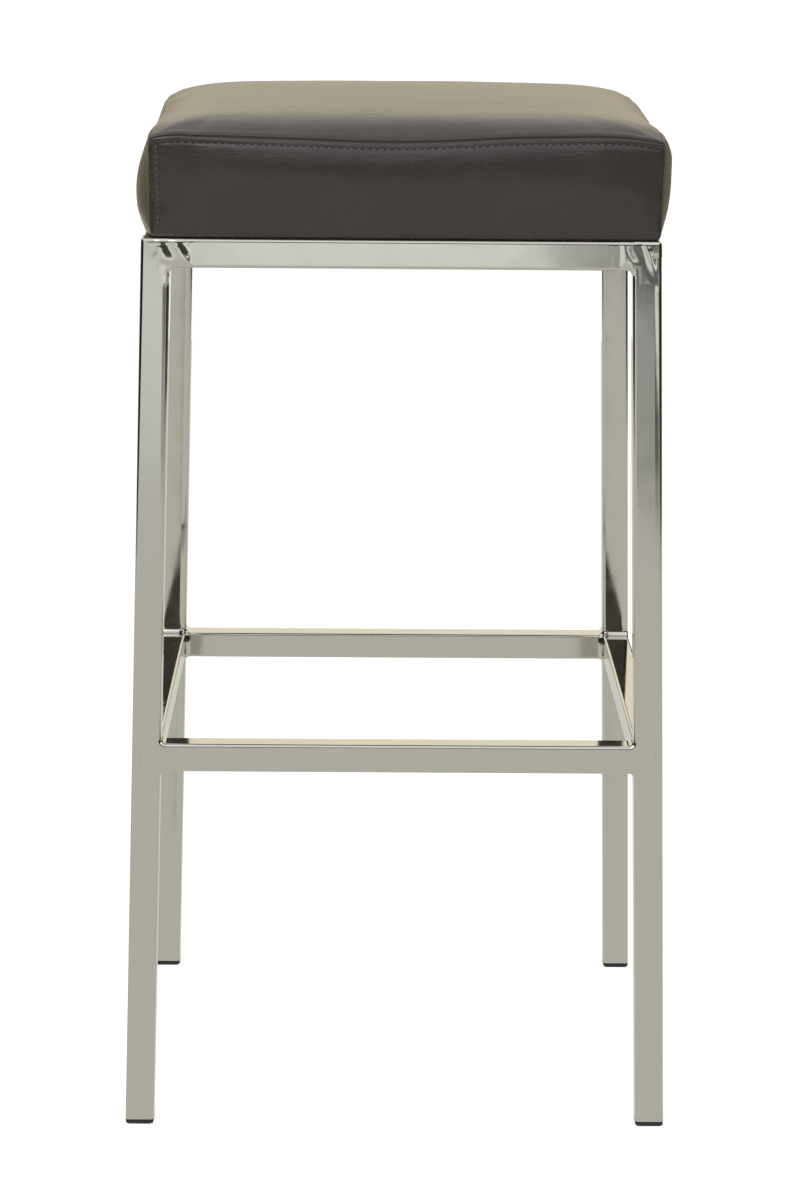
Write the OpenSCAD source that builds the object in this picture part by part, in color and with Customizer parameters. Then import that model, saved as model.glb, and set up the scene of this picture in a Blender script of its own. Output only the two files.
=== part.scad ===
// Backless bar stool: a welded square-tube frame with four splayed legs and a ring of foot rails,
// plastic feet, and a square box cushion screwed down on the frame.
// Millimetres. The origin is on the floor under the middle of the seat, +Z up, the front at -Y.

/* [Frame] */
// Outside width and depth of the frame at its top
frame_w = 390; // [340:5:440]
// Height of the frame's top above the floor
frame_h = 694; // [600:2:760]
// How far each leg spreads outward, both ways, from the frame's top to its foot
leg_spread = 16; // [4:1:30]
// Outside width of the square tube
tube = 22; // [19:1:25]
// Wall of the tube
tube_wall = 1.5; // [1:0.1:2]
// Radius of the tube's rounded edges
tube_r = 2.5; // [1.5:0.1:3.5]
// Height of the foot rails' undersides above the floor
foot_rail_h = 284; // [200:2:380]
// Width of the weld fillets in the corners
weld = 4; // [2:0.5:6]
// Thickness of the plates that close the tops of the legs
leg_plate_t = 2; // [1.5:0.1:3]

/* [Feet] */
// Height of the plastic foot below the leg
foot_h = 4; // [3:0.5:8]
// Depth of the foot's plug inside the leg
plug_depth = 16; // [12:1:24]
// Wall of the hollow plug
plug_wall = 1.4; // [1:0.1:2]
// How far the plug's ribs stand out of it
plug_rib = 1.6; // [0.8:0.1:2]

/* [Seat] */
// How far the cushion's corners stand in from the frame's corners
seat_inset = 4.5; // [2:0.5:8]
// Height of the cushion's side panels at the corners
boxing_h = 75; // [60:1:100]
// Rise of the crown above the corner seams
crown = 20; // [10:1:35]
// How far the side panels swell between the corners
bulge = 12; // [4:1:18]
// Rise of the top seam just inside each corner
seam_rise = 4.2; // [0:0.1:6]
// Dip of the top seam at the middle of each side, from that rise
seam_dip = 5.2; // [0:0.1:7]
// Thickness of the seat cover
cover_t = 1; // [0.8:0.1:1.5]
// Thickness of the plywood board
board_t = 12; // [9:1:18]
// How far the cover's turned-under hem reaches inside the top rails
hem_reach = 14; // [11:1:16]
// Thickness of the black cloth under the seat
dust_cover_t = 0.5; // [0.4:0.1:0.8]

/* [Brackets and screws] */
// Length of each corner bracket along the rails
bracket_leg = 58; // [52:1:70]
// Thickness of the corner brackets
bracket_t = 3; // [2:0.5:4]
// Distance of each seat screw from the rails' inner faces
screw_in = 22; // [20:1:26]
// Thread diameter of the seat screws
screw_d = 6; // [5:0.5:8]
// Length of the seat screws under their heads
screw_len = 16; // [14:1:18]

/* [Hidden] */
$fn = 48;

// Frame
inner_r_share = 0.4;
inner_r = tube_r * inner_r_share;
bore = tube - 2 * tube_wall;
overrun = 20;
leg_run = frame_h - foot_h;
leg_lean = atan(sqrt(2) * leg_spread / leg_run);
leg_axis_top = (frame_w - tube) / 2;
top_rail_mid = frame_h - tube / 2;
foot_rail_mid = foot_rail_h + tube / 2;
span = frame_w + 2 * leg_spread + 2 * overrun;
// Depth of the ground welds below the tube's faces, and their share of the groove at the rounded edge
grind = 0.05;
groove_share = 0.55;
plate_edge_r = 1.6;
plate_edge_steps = 3;
rail_inner = leg_out(top_rail_mid) - tube;

// Feet
foot_chamfer = 1;
foot_inset = 0.15;
plug_fit = 0.1;
plug_core = bore - 2 * (plug_fit + plug_rib);
rib_t = 1.2;
rib_shares = [0.25, 0.55, 0.85];

// Cushion
seat_half = frame_w / 2 - seat_inset;
seat_z = frame_h;
corner_seam_z = seat_z + boxing_h;
hem_end = seat_half - (rail_inner - hem_reach);
cover_fit = 0.3;
board_z = seat_z + cover_t;
board_top = board_z + board_t;
board_half = seat_half - cover_t - cover_fit;
// Share of the side panels' swell that is left at the top seam
seam_swell_share = 0.45;
crown_power = 6;
rise_power = 8;
edge_power = 4;
cells = 16;
side_rows = 5;

// Brackets, cloth and fasteners
bracket_drop = 1;
bracket_snip = 8;
bracket_z = frame_h - bracket_drop - bracket_t;
screw_at = rail_inner - screw_in;
screw_hole_play = 1;
thread_play = 0.1;
washer_t = 1.5;
washer_d_share = 2.3;
head_d_share = 1.75;
head_h_share = 0.55;
hex_share = 0.67;
hex_depth_share = 0.35;
screw_seat_z = bracket_z - washer_t;
nut_barrel_wall = 0.85;
nut_barrel_d = screw_d + thread_play + 2 * nut_barrel_wall;
nut_flange_t = 1.2;
nut_flange_d_share = 3;
nut_flange_d = screw_d * nut_flange_d_share;
nut_fit = 0.2;
nut_barrel_len = board_t - 3 * nut_flange_t;
dust_gap = 7;
dust_half = rail_inner - dust_gap;
dust_corner_clear = 14;
staple_w = 10;
staple_leg = 8;
staple_wire = 0.8;
staple_slot_play = 0.1;
staple_line = rail_inner - (dust_gap + hem_reach) / 2;
staple_shares = [-0.66, -0.33, 0, 0.33, 0.66];
staple_z = seat_z - dust_cover_t;

steel = [0.77, 0.77, 0.75];
black = [0.08, 0.08, 0.08];
leather = [0.26, 0.245, 0.23];

// Distance of a leg's outer faces from the middle of the stool at height z
function leg_out(z) = frame_w / 2 + leg_spread * (frame_h - z) / leg_run;

// Places its child, made for the rear right corner, at the corner on sides sx and sy
module at_corner(sx, sy) {
    if (sx < 0) mirror([1, 0, 0]) at_corner(1, sy) children();
    else if (sy < 0) mirror([0, 1, 0]) children();
    else children();
}

module at_all_corners() {
    for (sx = [-1, 1], sy = [-1, 1]) at_corner(sx, sy) children();
}

// Square with round corners
module rounded_square(size, r) {
    square([size - 2 * r, size], center = true);
    square([size, size - 2 * r], center = true);
    for (x = [-1, 1], y = [-1, 1]) translate([x * (size / 2 - r), y * (size / 2 - r)]) circle(r);
}

// Keeps what lies between two heights
module between(low, high) {
    intersection() {
        children();
        translate([-span / 2, -span / 2, low]) cube([span, span, high - low]);
    }
}

// Axes of the rear right leg: z runs up along it, from the middle of its top
module on_leg() {
    translate([leg_axis_top, leg_axis_top, frame_h]) rotate(a = leg_lean, v = [1, -1, 0]) children();
}

module leg_bar(size, r) {
    on_leg() translate([0, 0, -leg_run - overrun]) linear_extrude(leg_run + 2 * overrun)
        rounded_square(size, r);
}

// A leg stands on its foot and ends under its plate, cut level at both ends
module leg(sx, sy) {
    color(steel) at_corner(sx, sy) between(foot_h, frame_h - leg_plate_t) difference() {
        leg_bar(tube, tube_r);
        leg_bar(bore, inner_r);
    }
}

// Everything past the leg's inner face, where a rail along X ends, and past its neighbour's corner
module rail_end_cut() {
    on_leg() translate([-tube / 2, -span / 2, -leg_run - overrun])
        cube([span, span, leg_run + 2 * overrun]);
    rotate([0, 0, 45]) translate([0, -span, 0]) cube([span, span, frame_h + overrun]);
}

module rail_bar(mid, size, r) {
    reach = leg_out(mid);
    translate([-reach, reach - tube / 2, mid]) rotate([90, 0, 90]) linear_extrude(2 * reach)
        rounded_square(size, r);
}

// A rail of tube between two legs, its ends cut to their slant; turn 0 is the rear one
module rail(mid, turn) {
    color(steel) rotate([0, 0, turn]) difference() {
        rail_bar(mid, tube, tube_r);
        rail_bar(mid, bore, inner_r);
        for (side = [-1, 1]) at_corner(side, 1) rail_end_cut();
    }
}

// Fillet weld under (side -1) or over (side 1) the end of the rear rail, against the leg
module end_fillet(mid, side) {
    inner = leg_out(mid) - tube;
    level = mid + side * tube / 2;
    difference() {
        translate([0, inner + tube - tube_r, 0]) rotate([90, 0, 0]) linear_extrude(tube - 2 * tube_r)
            polygon([[inner - weld, level], [inner + weld, level],
                [inner + weld, level + 2 * side * weld]]);
        rail_end_cut();
    }
}

// Upright fillet between the inner faces of the two rails that meet in a corner
module corner_fillet(mid) {
    inner = leg_out(mid) - tube;
    translate([0, 0, mid - tube / 2 + tube_r]) linear_extrude(tube - 2 * tube_r)
        polygon([[inner, inner], [inner - weld, inner], [inner, inner - weld]]);
}

// Weld metal ground flush in the groove between the rail's end and the leg's rounded outer edge
module groove_weld(mid) {
    side = tube / 2 - grind;
    width = tube_r * groove_share;
    between(mid - tube / 2 + tube_r, mid + tube / 2 - tube_r) on_leg() translate([0, 0, -leg_run])
        linear_extrude(leg_run)
            polygon([[-tube / 2, side], [width - tube / 2, side], [-tube / 2, side - width]]);
}

// The weld in one corner joins two rails to the leg
module corner_weld(mid, sides) {
    color(steel) {
        corner_fillet(mid);
        for (swap = [0, 1]) mirror([swap, -swap, 0]) {
            for (side = sides) end_fillet(mid, side);
            groove_weld(mid);
        }
    }
}

module leg_top_plate() {
    edge = leg_out(frame_h);
    color(steel) difference() {
        between(frame_h - leg_plate_t, frame_h) leg_bar(tube, tube_r);
        for (swap = [0, 1]) mirror([swap, -swap, 0]) translate([edge - tube - overrun, edge, frame_h])
            rotate([90, 0, 90]) linear_extrude(tube + 2 * overrun) edge_round(plate_edge_r);
    }
}

// What a rounded edge leaves out of a square one, with its corner at the origin
module edge_round(r) {
    polygon(concat([[overrun, overrun], [-r, overrun]],
        [for (k = [0 : plate_edge_steps]) let (a = 90 * k / plate_edge_steps)
            [-r + r * sin(a), -r + r * cos(a)]],
        [[overrun, -r]]));
}

// A gusset in the corner of the top rails, snipped clear of the weld, with a hole for the seat screw
module seat_bracket() {
    color(steel) translate([0, 0, bracket_z]) linear_extrude(bracket_t) difference() {
        polygon([[rail_inner, rail_inner - bracket_snip], [rail_inner - bracket_snip, rail_inner],
            [rail_inner - bracket_leg, rail_inner], [rail_inner, rail_inner - bracket_leg]]);
        translate([screw_at, screw_at]) circle(d = screw_d + screw_hole_play);
    }
}

// A foot: a flat pad under the leg, and a ribbed hollow plug inside it
module foot(sx, sy) {
    foot_axis = leg_out(foot_h) - tube / 2;
    pad = tube - 2 * foot_inset;
    color(black) at_corner(sx, sy) {
        translate([foot_axis, foot_axis, 0]) {
            translate([0, 0, foot_chamfer]) linear_extrude(foot_h - foot_chamfer) rounded_square(pad, tube_r);
            linear_extrude(foot_chamfer) rounded_square(pad - 2 * foot_chamfer, tube_r);
        }
        between(foot_h, foot_h + plug_depth) difference() {
            union() {
                leg_bar(plug_core, inner_r);
                for (share = rib_shares) let (rib_top = foot_h + plug_depth * share)
                    between(rib_top - rib_t, rib_top) leg_bar(bore - 2 * plug_fit, inner_r);
            }
            leg_bar(plug_core - 2 * plug_wall, inner_r);
        }
    }
}

// Heights and swell of the cushion. s runs from -1 to 1 along a side, between its corners.
function seam_lift(s) = seam_rise * (1 - pow(abs(s), rise_power)) - seam_dip * pow(1 - s * s, 2);
function seam_z(s) = corner_seam_z + seam_lift(s);
function swell_share(t) = seam_swell_share * t + (1 - seam_swell_share) * sin(180 * t);
function swell(s, z) = bulge * (1 - s * s) * swell_share((z - seat_z) / (seam_z(s) - seat_z));
function station(i) = sin(90 * (2 * i / cells - 1));

// A point on the front side panel, a depth in from its face
function side_point(s, z, depth) = [s * (seat_half - depth), -(seat_half - depth + swell(s, z)), z];

// Height of a side panel's row: row 0 is the seam, and row side_rows lies on the board's top
function row_z(s, row, depth) = board_top + (seam_z(s) - depth - board_top) * (1 - row / side_rows);

// A point on the crowned top, a depth in from its face
function crown_share(s) = 1 - pow(abs(s), crown_power);
function top_point(u, v, depth) = [
    u * (seat_half - depth + swell(v, seam_z(v) - depth)),
    v * (seat_half - depth + swell(u, seam_z(u) - depth)),
    corner_seam_z - depth + crown * crown_share(u) * crown_share(v)
        + seam_lift(u) * pow(abs(v), edge_power) + seam_lift(v) * pow(abs(u), edge_power)];

function turned(p, quarter) = quarter == 0 ? p : turned([-p.y, p.x, p.z], quarter - 1);

// Two triangles for the four corners of a patch
function patch(a, b, c, d) = [[a, b, c], [a, c, d]];
function flat(lists) = [for (list = lists) for (item = list) item];

// The cushion's top panel, a skin with its edge mitred to the side panels
module top_panel() {
    side = cells + 1;
    points = [for (depth = [0, cover_t], i = [0 : cells], j = [0 : cells])
        top_point(station(i), station(j), depth)];
    function at(layer, i, j) = layer * side * side + i * side + j;
    faces = flat([for (i = [0 : cells - 1], j = [0 : cells - 1]) concat(
        patch(at(0, i, j), at(0, i, j + 1), at(0, i + 1, j + 1), at(0, i + 1, j)),
        patch(at(1, i, j), at(1, i + 1, j), at(1, i + 1, j + 1), at(1, i, j + 1)))]);
    rim = flat([for (i = [0 : cells - 1]) concat(
        patch(at(0, i, 0), at(0, i + 1, 0), at(1, i + 1, 0), at(1, i, 0)),
        patch(at(0, i + 1, cells), at(0, i, cells), at(1, i, cells), at(1, i + 1, cells)),
        patch(at(0, 0, i + 1), at(0, 0, i), at(1, 0, i), at(1, 0, i + 1)),
        patch(at(0, cells, i), at(0, cells, i + 1), at(1, cells, i + 1), at(1, cells, i)))]);
    color(leather) polyhedron(points, concat(faces, rim));
}

// Outline of a side panel at s: down its face, in under the board as a hem, and back up inside
function boxing_ring(s) = concat(
    [for (row = [0 : side_rows]) side_point(s, row_z(s, row, 0), 0)],
    [side_point(s, seat_z, 0), side_point(s, seat_z, hem_end), side_point(s, board_z, hem_end),
        side_point(s, board_z, cover_t)],
    [for (row = [side_rows : -1 : 0]) side_point(s, row_z(s, row, cover_t), cover_t)]);

// A side panel of the cover with its hem, mitred at both corners; turn 0 is the front one
module boxing(turn) {
    ring = len(boxing_ring(0));
    points = flat([for (i = [0 : cells]) boxing_ring(station(i))]);
    skin = flat([for (i = [0 : cells - 1], m = [0 : ring - 1]) let (next = (m + 1) % ring)
        patch(i * ring + m, (i + 1) * ring + m, (i + 1) * ring + next, i * ring + next)]);
    last = cells * ring;
    ends = flat([for (m = [0 : ring / 2 - 2]) concat(
        patch(m, m + 1, ring - 2 - m, ring - 1 - m),
        patch(last + ring - 1 - m, last + ring - 2 - m, last + m + 1, last + m))]);
    color(leather) difference() {
        rotate([0, 0, turn]) polyhedron(points, concat(skin, ends));
        rotate([0, 0, turn]) staple_row(staple_slot_play);
    }
}

// The foam fills the cover above the board
module seat_foam() {
    side = cells + 1;
    depth = cover_t + cover_fit;
    loop = 4 * cells;
    function rim(k) = let (quarter = floor(k / cells), i = k % cells)
        quarter == 0 ? i * side : quarter == 1 ? cells * side + i
        : quarter == 2 ? (cells - i) * side + cells : cells - i;
    function at(row, k) = row == 0 ? rim(k % loop) : side * side + (row - 1) * loop + k % loop;
    points = concat(
        [for (i = [0 : cells], j = [0 : cells]) top_point(station(i), station(j), depth)],
        [for (row = [1 : side_rows], k = [0 : loop - 1])
            let (s = station(k % cells))
                turned(side_point(s, row_z(s, row, depth), depth), floor(k / cells))],
        [[0, 0, board_top]]);
    top = flat([for (i = [0 : cells - 1], j = [0 : cells - 1])
        patch(i * side + j, i * side + j + 1, (i + 1) * side + j + 1, (i + 1) * side + j)]);
    walls = flat([for (row = [0 : side_rows - 1], k = [0 : loop - 1])
        patch(at(row, k), at(row, k + 1), at(row + 1, k + 1), at(row + 1, k))]);
    base = [for (k = [0 : loop - 1]) [at(side_rows, k), at(side_rows, k + 1), len(points) - 1]];
    color([0.93, 0.88, 0.7]) polyhedron(points, concat(top, walls, base));
}

// The plywood board, with holes for the tee nuts and the staples
module seat_board() {
    color([0.76, 0.6, 0.4]) difference() {
        translate([-board_half, -board_half, board_z]) cube([2 * board_half, 2 * board_half, board_t]);
        at_all_corners() translate([screw_at, screw_at, 0]) {
            translate([0, 0, board_z - overrun])
                cylinder(d = nut_barrel_d + nut_fit, h = board_t + 2 * overrun);
            translate([0, 0, board_top - nut_flange_t])
                cylinder(d = nut_flange_d + nut_fit, h = nut_flange_t + overrun);
        }
        staple_rows(staple_slot_play);
    }
}

// A barrel with a flange at its top, let into the board
module tee_nut() {
    color("silver") translate([screw_at, screw_at, board_top]) difference() {
        union() {
            translate([0, 0, -nut_flange_t]) cylinder(d = nut_flange_d, h = nut_flange_t);
            translate([0, 0, -nut_flange_t - nut_barrel_len]) cylinder(d = nut_barrel_d, h = nut_barrel_len);
        }
        translate([0, 0, -board_t]) cylinder(d = screw_d + thread_play, h = board_t + overrun);
    }
}

// Button-head screw with a hexagon socket, its head down
module seat_screw() {
    head_r = screw_d * head_d_share / 2;
    head_h = screw_d * head_h_share;
    color("silver") translate([screw_at, screw_at, screw_seat_z]) difference() {
        rotate_extrude() polygon([[0, -head_h], [head_r * hex_share, -head_h],
            [head_r, -head_h * hex_share / 2], [head_r, 0],
            [screw_d / 2, 0], [screw_d / 2, screw_len], [0, screw_len]]);
        translate([0, 0, -head_h - overrun])
            cylinder(d = screw_d * hex_share, h = overrun + screw_d * hex_depth_share, $fn = 6);
    }
}

module screw_washer() {
    color("silver") translate([screw_at, screw_at, screw_seat_z]) difference() {
        cylinder(d = screw_d * washer_d_share, h = washer_t);
        translate([0, 0, -overrun]) cylinder(d = screw_d + screw_hole_play / 2, h = washer_t + 2 * overrun);
    }
}

// Black cloth under the board, cut off at the corners clear of the seat screws
module dust_cover() {
    corner = 2 * screw_at - dust_corner_clear - dust_half;
    color(black) difference() {
        translate([0, 0, seat_z - dust_cover_t]) linear_extrude(dust_cover_t)
            polygon([for (quarter = [0 : 3], end = [-1, 1])
                let (p = turned([end * corner, -dust_half, 0], quarter)) [p.x, p.y]]);
        staple_rows(staple_slot_play);
    }
}

// A staple through the cloth and the hem into the board, on the front side
module staple(x, play) {
    wire = staple_wire + play;
    for (side = [-1, 1]) let (leg_x = x + side * (staple_w - staple_wire) / 2)
        translate([leg_x - wire / 2, -staple_line - wire / 2, staple_z - staple_wire])
            cube([wire, wire, staple_leg + staple_wire + play]);
    translate([x - staple_w / 2, -staple_line - staple_wire / 2, staple_z - staple_wire])
        cube([staple_w, staple_wire, staple_wire]);
}

module staple_row(play) {
    for (share = staple_shares) staple(share * staple_line, play);
}

module staple_rows(play) {
    for (turn = [0 : 90 : 270]) rotate([0, 0, turn]) staple_row(play);
}

module front_left_leg() leg(-1, -1);
module front_right_leg() leg(1, -1);
module rear_left_leg() leg(-1, 1);
module rear_right_leg() leg(1, 1);
module front_top_rail() rail(top_rail_mid, 180);
module rear_top_rail() rail(top_rail_mid, 0);
module left_top_rail() rail(top_rail_mid, 90);
module right_top_rail() rail(top_rail_mid, -90);
module front_foot_rail() rail(foot_rail_mid, 180);
module rear_foot_rail() rail(foot_rail_mid, 0);
module left_foot_rail() rail(foot_rail_mid, 90);
module right_foot_rail() rail(foot_rail_mid, -90);
module leg_top_plates() at_all_corners() leg_top_plate();
module top_corner_welds() at_all_corners() corner_weld(top_rail_mid, [-1]);
module foot_rail_welds() at_all_corners() corner_weld(foot_rail_mid, [-1, 1]);
module seat_brackets() at_all_corners() seat_bracket();
module front_left_foot() foot(-1, -1);
module front_right_foot() foot(1, -1);
module rear_left_foot() foot(-1, 1);
module rear_right_foot() foot(1, 1);
module front_boxing() boxing(0);
module rear_boxing() boxing(180);
module left_boxing() boxing(-90);
module right_boxing() boxing(90);
module cover_staples() color("silver") staple_rows(0);
module tee_nuts() at_all_corners() tee_nut();
module seat_screws() at_all_corners() seat_screw();
module screw_washers() at_all_corners() screw_washer();

front_left_leg();
front_right_leg();
rear_left_leg();
rear_right_leg();
front_top_rail();
rear_top_rail();
left_top_rail();
right_top_rail();
front_foot_rail();
rear_foot_rail();
left_foot_rail();
right_foot_rail();
leg_top_plates();
top_corner_welds();
foot_rail_welds();
seat_brackets();
front_left_foot();
front_right_foot();
rear_left_foot();
rear_right_foot();
seat_board();
seat_foam();
top_panel();
front_boxing();
rear_boxing();
left_boxing();
right_boxing();
dust_cover();
cover_staples();
tee_nuts();
seat_screws();
screw_washers();
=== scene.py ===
"""Looks of a backless bar stool: a sewn box cushion in faux leather on a chromed tube frame.

Lengths in the tables are millimetres, in the stool's own frame: the floor is z 0, the front is at -Y.
"""
import math

import bmesh
import bpy
import numpy as np
from mathutils import Matrix, Vector, noise


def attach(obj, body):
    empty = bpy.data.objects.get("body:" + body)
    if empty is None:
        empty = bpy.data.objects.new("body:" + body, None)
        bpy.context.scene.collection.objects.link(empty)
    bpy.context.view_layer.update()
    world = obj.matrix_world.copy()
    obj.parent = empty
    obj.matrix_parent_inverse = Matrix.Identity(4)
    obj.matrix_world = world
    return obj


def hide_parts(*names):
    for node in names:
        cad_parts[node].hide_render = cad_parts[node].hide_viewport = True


MM = 0.001
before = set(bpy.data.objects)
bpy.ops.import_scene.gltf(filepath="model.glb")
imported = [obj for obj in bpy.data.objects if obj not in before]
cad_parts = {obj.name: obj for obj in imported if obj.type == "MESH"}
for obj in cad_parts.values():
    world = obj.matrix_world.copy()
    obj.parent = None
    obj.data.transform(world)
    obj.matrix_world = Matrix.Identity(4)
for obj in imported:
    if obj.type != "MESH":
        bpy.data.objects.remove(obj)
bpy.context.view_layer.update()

# Frame, as the welded tubes have it
TUBE = 22.0
TUBE_EDGE = 2.5
FRAME_TOP = 694.0
FRAME_HALF = 195.0
LEG_SPREAD = 16.0
LEG_RUN = 690.0
TOP_RAIL_MID = FRAME_TOP - TUBE / 2
FOOT_RAIL_MID = 295.0
FILLET = 4.0
# How far from a leg's right-hand edge its flat starts to curve, how fast it then does, and the slope that it
# reaches on the legs at the left and at the right
SHOULDER = 5.5
SHOULDER_POWER = 1.25
LEFT_SLOPE, RIGHT_SLOPE = 0.12, 0.07

# Cushion: half widths at the frame and at the top seam, how much less it has front to rear, and how far each
# stands to the right
HALF_LOW, HALF_HIGH = 190.8, 193.2
DEPTH_LESS = 0.7
SHIFT_LOW, SHIFT_HIGH = 3.2, 3.4
SEAM_HEIGHT = 75.0
# How high the top rolls over its seam, how sharply at the front and rear and at the sides, and its dome
ROLL, ROLL_POWER, SIDE_ROLL_POWER = 15.5, 12, 9.5
DOME = 6.0
# The rounded lower edge, the hem's gap over the frame, and how far from the middle the hem ends
BOTTOM_ROUND = 3.0
HEM_GAP = 0.15
HEM_END = 159.5


# Helpers

def curve_through(stations, heights):
    """A smooth curve through a table of points."""
    x, y = np.array(stations, float), np.array(heights, float)
    slope = np.gradient(y, x)

    def at(where):
        where = np.clip(where, x[0], x[-1])
        i = np.clip(np.searchsorted(x, where) - 1, 0, len(x) - 2)
        width = x[i + 1] - x[i]
        t = (where - x[i]) / width
        return ((2 * t**3 - 3 * t**2 + 1) * y[i] + (t**3 - 2 * t**2 + t) * width * slope[i]
                + (3 * t**2 - 2 * t**3) * y[i + 1] + (t**3 - t**2) * width * slope[i + 1])
    return at


def smooth(low, high, value):
    """0 to 1 between two values, with soft ends."""
    t = np.clip((value - low) / (high - low), 0, 1)
    return t * t * (3 - 2 * t)


def hump(value, middle, width):
    """1 at its middle, and fades out on both sides."""
    return np.exp(-((value - middle) / width) ** 2)


def unit(vectors):
    return vectors / np.maximum(np.linalg.norm(vectors, axis=-1, keepdims=True), 1e-9)


def ripple(points, size, seed):
    """Slow noise, -1 to 1, that varies over a size."""
    offset = Vector((seed * 17.3, seed * 5.1, seed * 9.7))
    flat = points.reshape(-1, 3) / size
    values = [noise.noise(Vector(p) + offset) for p in flat]
    return np.array(values).reshape(points.shape[:-1])


def make_piece(name, points, faces, material, merge=0.0):
    """A smooth-shaded mesh from points in millimetres, riding on the stool's one body."""
    mesh = bpy.data.meshes.new(name)
    mesh.from_pydata([tuple(p) for p in np.asarray(points) * MM], [], faces)
    build = bmesh.new()
    build.from_mesh(mesh)
    if merge:
        bmesh.ops.remove_doubles(build, verts=build.verts, dist=merge * MM)
    bmesh.ops.recalc_face_normals(build, faces=build.faces)
    build.to_mesh(mesh)
    build.free()
    mesh.shade_smooth()
    mesh.materials.append(material)
    piece = bpy.data.objects.new(name, mesh)
    bpy.context.scene.collection.objects.link(piece)
    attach(piece, "root")
    return piece


def grid_faces(rows, columns, start=0):
    return [(start + i * columns + j, start + i * columns + j + 1,
             start + (i + 1) * columns + j + 1, start + (i + 1) * columns + j)
            for i in range(rows - 1) for j in range(columns - 1)]


def colour(code):
    """An sRGB hex code as a linear colour."""
    parts = [int(code[i:i + 2], 16) / 255 for i in (1, 3, 5)]
    return tuple(c / 12.92 if c <= 0.04045 else ((c + 0.055) / 1.055) ** 2.4 for c in parts) + (1.0,)


def grey(value):
    return (value, value, value, 1.0)


def connect(tree, node, inputs):
    """Sets a node's inputs to values, or to the sockets that feed them."""
    for socket, value in inputs.items():
        if isinstance(value, bpy.types.NodeSocket):
            tree.links.new(value, node.inputs[socket])
        else:
            node.inputs[socket].default_value = value


def add(tree, kind, inputs=None, stops=None, **settings):
    """Adds a node: its settings, its inputs, its ramp's stops."""
    node = tree.nodes.new(kind)
    for name, value in settings.items():
        setattr(node, name, value)
    connect(tree, node, inputs or {})
    if stops:
        ramp = node.color_ramp
        while len(ramp.elements) < len(stops):
            ramp.elements.new(1.0)
        for element, (position, tone) in zip(ramp.elements, stops):
            element.position = position
            element.color = tone
    return node


def worked(tree, operation, *values):
    """One step of arithmetic between sockets or numbers."""
    return add(tree, "ShaderNodeMath", dict(enumerate(values)), operation=operation).outputs[0]


def ranged(tree, value, low, high, start=0.0, end=1.0, kind="LINEAR"):
    """A value that goes from low to high, as one that goes from start to end."""
    spans = {"Value": value, "From Min": low, "From Max": high, "To Min": start, "To Max": end}
    return add(tree, "ShaderNodeMapRange", spans, interpolation_type=kind).outputs["Result"]


def mottled(tree, place, size, detail, warp=0.0):
    """Noise that varies over a size in millimetres, or over one for each axis."""
    if isinstance(size, tuple):
        scales = tuple(1 / (length * MM) for length in size)
        place = add(tree, "ShaderNodeMapping", {"Vector": place, "Scale": scales}).outputs["Vector"]
        size = 1 / MM
    inputs = {"Vector": place, "Scale": 1 / (size * MM), "Detail": detail, "Distortion": warp}
    return add(tree, "ShaderNodeTexNoise", inputs).outputs["Fac"]


def tones(tree, value, low, high, ends=(0.3, 0.7)):
    """A ramp between two sRGB tones."""
    return add(tree, "ShaderNodeValToRGB", {"Fac": value},
               stops=[(ends[0], colour(low)), (ends[1], colour(high))]).outputs["Color"]


def bump(tree, height, strength, distance, over=None):
    """Normals with the relief of a height, over other normals where they are given."""
    node = add(tree, "ShaderNodeBump", {"Height": height, "Strength": strength, "Distance": distance})
    if over is not None:
        connect(tree, node, {"Normal": over})
    return node.outputs["Normal"]


def new_material(name):
    """A material, its node tree, its shader, and the place in the stool's frame, in metres."""
    material = bpy.data.materials.new(name)
    material.use_nodes = True
    tree = material.node_tree
    place = add(tree, "ShaderNodeTexCoord").outputs["Object"]
    return material, tree, tree.nodes["Principled BSDF"], place


# Materials

def shoulder(tree, place):
    """How far the legs' flats curve down before their right-hand edges, where the buffing wheel leaves them.

    This starts below the ground joints of the top rails.
    """
    x, _, z = add(tree, "ShaderNodeSeparateXYZ", {"Vector": place}).outputs
    outer = worked(tree, "MULTIPLY_ADD", z, -LEG_SPREAD / LEG_RUN,
                   (FRAME_HALF + LEG_SPREAD * FRAME_TOP / LEG_RUN) * MM)
    from_left_leg = worked(tree, "SUBTRACT", worked(tree, "SUBTRACT", TUBE * MM, outer), x)
    apart = worked(tree, "MULTIPLY_ADD", outer, 2.0, -TUBE * MM)
    on_right = worked(tree, "GREATER_THAN", x, 0.0)
    edge = worked(tree, "MULTIPLY_ADD", on_right, apart, from_left_leg)
    slope = worked(tree, "MULTIPLY_ADD", on_right, LEFT_SLOPE - RIGHT_SLOPE, -LEFT_SLOPE)
    worn = worked(tree, "MAXIMUM", worked(tree, "SUBTRACT", SHOULDER * MM, edge), 0.0)
    worn = worked(tree, "MINIMUM", worn, SHOULDER * MM)
    steepest = SHOULDER_POWER * ((SHOULDER - TUBE_EDGE) * MM) ** (SHOULDER_POWER - 1)
    shape = worked(tree, "DIVIDE", worked(tree, "POWER", worn, SHOULDER_POWER), steepest)
    under_rail = TOP_RAIL_MID - TUBE / 2
    below = ranged(tree, z, (under_rail - 2) * MM, (under_rail - 16) * MM, kind="SMOOTHSTEP")
    return worked(tree, "MULTIPLY", worked(tree, "MULTIPLY", shape, slope), below)


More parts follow.
